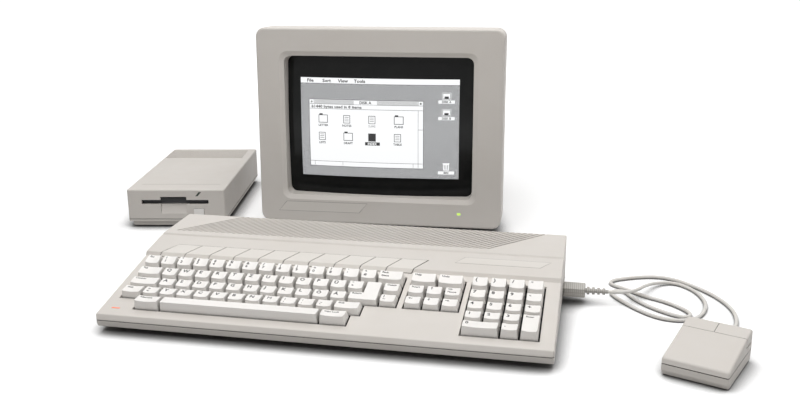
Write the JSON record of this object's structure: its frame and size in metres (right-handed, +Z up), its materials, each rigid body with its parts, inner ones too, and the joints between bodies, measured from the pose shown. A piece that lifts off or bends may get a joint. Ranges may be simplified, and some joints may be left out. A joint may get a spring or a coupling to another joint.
{
  "type": "vintage home computer",
  "caption": "Keyboard-console home computer with a monochrome picture-tube monitor, floppy disk drive and corded ball mouse, standing together as a set.",
  "frame": {"origin": "centre of the set's footprint, without the cord, on the surface it stands on", "axes": "+X to the user's right along the keyboard, +Y away from the user, +Z up"},
  "size_m": [0.8455, 0.6978, 0.2781],
  "materials": {
    "case_plastic": "warm light grey, fine texture",
    "key_plastic": "off-white, fine texture",
    "bank_plastic": "warm grey, satin",
    "dark_plastic": "black, satin",
    "switch_plastic": "black, satin",
    "rubber": "matt",
    "cord_jacket": "warm grey, satin",
    "glass": "polished, grey tint",
    "steel": "zinc plated",
    "screw_steel": "black oxide",
    "board": "green solder mask",
    "copper": "enamelled copper",
    "ferrite": "dull",
    "red_light": "clear red",
    "green_light": "clear green",
    "unlit_lens": "dark, unlit",
    "frame_paint": "black, matt",
    "ball_rubber": "satin"
  },
  "bodies": {
    "desk_set": {"console_top_case": "case_plastic", "console_bottom_case": "case_plastic", "keyboard_frame": "frame_paint", "key_switches": "dark_plastic", "keyboard_circuit_board": "board", "mainboard": "board", "console_shield": "steel", "console_sockets": "dark_plastic", "console_power_light": "red_light", "board_chips": "dark_plastic", "case_screws": "screw_steel", "rubber_feet": "rubber", "monitor_bezel": "case_plastic", "monitor_rear_housing": "case_plastic", "monitor_foot": "case_plastic", "picture_tube": "glass", "tube_band": "steel", "deflection_yoke": "copper", "monitor_circuit_boards": "board", "flyback_transformer": "ferrite", "loudspeaker": "ferrite", "monitor_power_light": "green_light", "peripheral_sockets": "dark_plastic", "drive_top_cover": "case_plastic", "drive_base": "case_plastic", "drive_mechanism_frame": "steel", "drive_logic_board": "board", "drive_activity_light": "unlit_lens", "mouse_top_shell": "case_plastic", "mouse_base": "case_plastic", "mouse_circuit_board": "board", "mouse_cord": "cord_jacket", "mouse_plug": "cord_jacket", "cord_strain_relief": "cord_jacket"},
    "function_keys": {"function_keys": "bank_plastic"},
    "number_row_keys": {"number_row_keys": "key_plastic"},
    "upper_row_keys": {"upper_row_keys": "key_plastic"},
    "home_row_keys": {"home_row_keys": "key_plastic"},
    "lower_row_keys": {"lower_row_keys": "key_plastic"},
    "bottom_row_keys": {"bottom_row_keys": "key_plastic"},
    "space_bar": {"space_bar": "key_plastic"},
    "return_key": {"return_key": "key_plastic"},
    "cursor_keys": {"cursor_keys": "key_plastic"},
    "keypad_keys": {"keypad_keys": "key_plastic"},
    "console_power_switch": {"console_power_switch": "switch_plastic"},
    "reset_button": {"reset_button": "case_plastic"},
    "monitor_power_switch": {"monitor_power_switch": "switch_plastic"},
    "brightness_wheel": {"brightness_wheel": "case_plastic"},
    "volume_wheel": {"volume_wheel": "case_plastic"},
    "eject_button": {"eject_button": "key_plastic"},
    "dust_flap": {"dust_flap": "switch_plastic"},
    "spindle_hub": {"spindle_hub": "steel"},
    "head_carriage": {"head_carriage": "dark_plastic"},
    "drive_power_switch": {"drive_power_switch": "switch_plastic"},
    "left_button": {"left_button": "case_plastic"},
    "right_button": {"right_button": "case_plastic"},
    "mouse_ball": {"mouse_ball": "ball_rubber"},
    "forward_roller": {"forward_roller": "dark_plastic"},
    "sideways_roller": {"sideways_roller": "dark_plastic"},
    "ball_ring": {"ball_ring": "case_plastic"}
  },
  "joints": [
    {"name": "function_keys_press", "type": "slide", "parent": "desk_set", "child": "function_keys", "axis": [0, 0.2045, -0.9789], "range_m": [0, 0.0025], "stiffness_N_per_m": 800, "springref_m": -0.004},
    {"name": "number_row_keys_press", "type": "slide", "parent": "desk_set", "child": "number_row_keys", "axis": [0, 0.2045, -0.9789], "range_m": [0, 0.0038], "stiffness_N_per_m": 1200, "springref_m": -0.004},
    {"name": "upper_row_keys_press", "type": "slide", "parent": "desk_set", "child": "upper_row_keys", "axis": [0, 0.2045, -0.9789], "range_m": [0, 0.0038], "stiffness_N_per_m": 1120, "springref_m": -0.004},
    {"name": "home_row_keys_press", "type": "slide", "parent": "desk_set", "child": "home_row_keys", "axis": [0, 0.2045, -0.9789], "range_m": [0, 0.0038], "stiffness_N_per_m": 1040, "springref_m": -0.004},
    {"name": "lower_row_keys_press", "type": "slide", "parent": "desk_set", "child": "lower_row_keys", "axis": [0, 0.2045, -0.9789], "range_m": [0, 0.0038], "stiffness_N_per_m": 1040, "springref_m": -0.004},
    {"name": "bottom_row_keys_press", "type": "slide", "parent": "desk_set", "child": "bottom_row_keys", "axis": [0, 0.2045, -0.9789], "range_m": [0, 0.0038], "stiffness_N_per_m": 160, "springref_m": -0.004},
    {"name": "space_bar_press", "type": "slide", "parent": "desk_set", "child": "space_bar", "axis": [0, 0.2045, -0.9789], "range_m": [0, 0.0038], "stiffness_N_per_m": 240, "springref_m": -0.004},
    {"name": "return_key_press", "type": "slide", "parent": "desk_set", "child": "return_key", "axis": [0, 0.2045, -0.9789], "range_m": [0, 0.0038], "stiffness_N_per_m": 80, "springref_m": -0.004},
    {"name": "cursor_keys_press", "type": "slide", "parent": "desk_set", "child": "cursor_keys", "axis": [0, 0.2045, -0.9789], "range_m": [0, 0.0038], "stiffness_N_per_m": 640, "springref_m": -0.004},
    {"name": "keypad_keys_press", "type": "slide", "parent": "desk_set", "child": "keypad_keys", "axis": [0, 0.2045, -0.9789], "range_m": [0, 0.0038], "stiffness_N_per_m": 1440, "springref_m": -0.004},
    {"name": "console_power_rock", "type": "hinge", "parent": "desk_set", "child": "console_power_switch", "pos_m": [0.13042, -0.10538, 0.0281], "axis": [1, 0, 0], "range_deg": [0, 12]},
    {"name": "reset_press", "type": "slide", "parent": "desk_set", "child": "reset_button", "axis": [0, -1, 0], "range_m": [0, 0.0025], "stiffness_N_per_m": 250, "springref_m": -0.002},
    {"name": "monitor_power_rock", "type": "hinge", "parent": "desk_set", "child": "monitor_power_switch", "pos_m": [-0.11196, 0.32957, 0.04992], "axis": [0.9988, 0.0483, 0], "range_deg": [0, 12]},
    {"name": "brightness_turn", "type": "hinge", "parent": "desk_set", "child": "brightness_wheel", "pos_m": [0.12878, 0.11298, 0.04346], "axis": [-0.002, 0.0418, 0.9991], "range_deg": [-135, 135]},
    {"name": "volume_turn", "type": "hinge", "parent": "desk_set", "child": "volume_wheel", "pos_m": [0.12873, 0.11415, 0.07143], "axis": [-0.002, 0.0418, 0.9991], "range_deg": [-135, 135]},
    {"name": "eject_press", "type": "slide", "parent": "desk_set", "child": "eject_button", "axis": [-0.181, 0.9835, 0], "range_m": [0, 0.006], "stiffness_N_per_m": 150, "springref_m": -0.003},
    {"name": "dust_flap_swing", "type": "hinge", "parent": "desk_set", "child": "dust_flap", "pos_m": [-0.31, 0.02329, 0.0416], "axis": [0.9835, 0.181, 0], "range_deg": [0, 78], "stiffness_Nm_per_rad": 0.001, "springref_deg": -11.46},
    {"name": "spindle_turn", "type": "hinge", "parent": "desk_set", "child": "spindle_hub", "pos_m": [-0.32322, 0.09509, 0.033], "axis": [0, 0, 1], "continuous": true},
    {"name": "head_carriage_run", "type": "slide", "parent": "desk_set", "child": "head_carriage", "axis": [-0.181, 0.9835, 0], "range_m": [0, 0.02]},
    {"name": "drive_power_rock", "type": "hinge", "parent": "desk_set", "child": "drive_power_switch", "pos_m": [-0.3116, 0.27669, 0.0276], "axis": [0.9835, 0.181, 0], "range_deg": [0, 12]},
    {"name": "left_click", "type": "hinge", "parent": "desk_set", "child": "left_button", "pos_m": [0.38422, -0.28747, 0.021], "axis": [-0.9304, 0.3665, 0], "range_deg": [0, 3], "stiffness_Nm_per_rad": 0.06, "springref_deg": -2.86},
    {"name": "right_click", "type": "hinge", "parent": "desk_set", "child": "right_button", "pos_m": [0.38422, -0.28747, 0.021], "axis": [-0.9304, 0.3665, 0], "range_deg": [0, 3], "stiffness_Nm_per_rad": 0.06, "springref_deg": -2.86},
    {"name": "mouse_ball_roll", "type": "hinge", "parent": "desk_set", "child": "mouse_ball", "pos_m": [0.37726, -0.30515, 0.0111], "axis": [0.9304, -0.3665, 0], "continuous": true},
    {"name": "forward_roller_turn", "type": "hinge", "parent": "desk_set", "child": "forward_roller", "pos_m": [0.38195, -0.29324, 0.0111], "axis": [0.9304, -0.3665, 0], "continuous": true},
    {"name": "sideways_roller_turn", "type": "hinge", "parent": "desk_set", "child": "sideways_roller", "pos_m": [0.36535, -0.30046, 0.0111], "axis": [0.3665, 0.9304, 0], "continuous": true},
    {"name": "ball_ring_turn", "type": "hinge", "parent": "desk_set", "child": "ball_ring", "pos_m": [0.37726, -0.30515, 0.0006], "axis": [0, 0, 1], "range_deg": [0, 25]}
  ],
  "couplings": [
    {"joint": "forward_roller_turn", "follows": "mouse_ball_roll", "ratio": -6.4706}
  ]
}
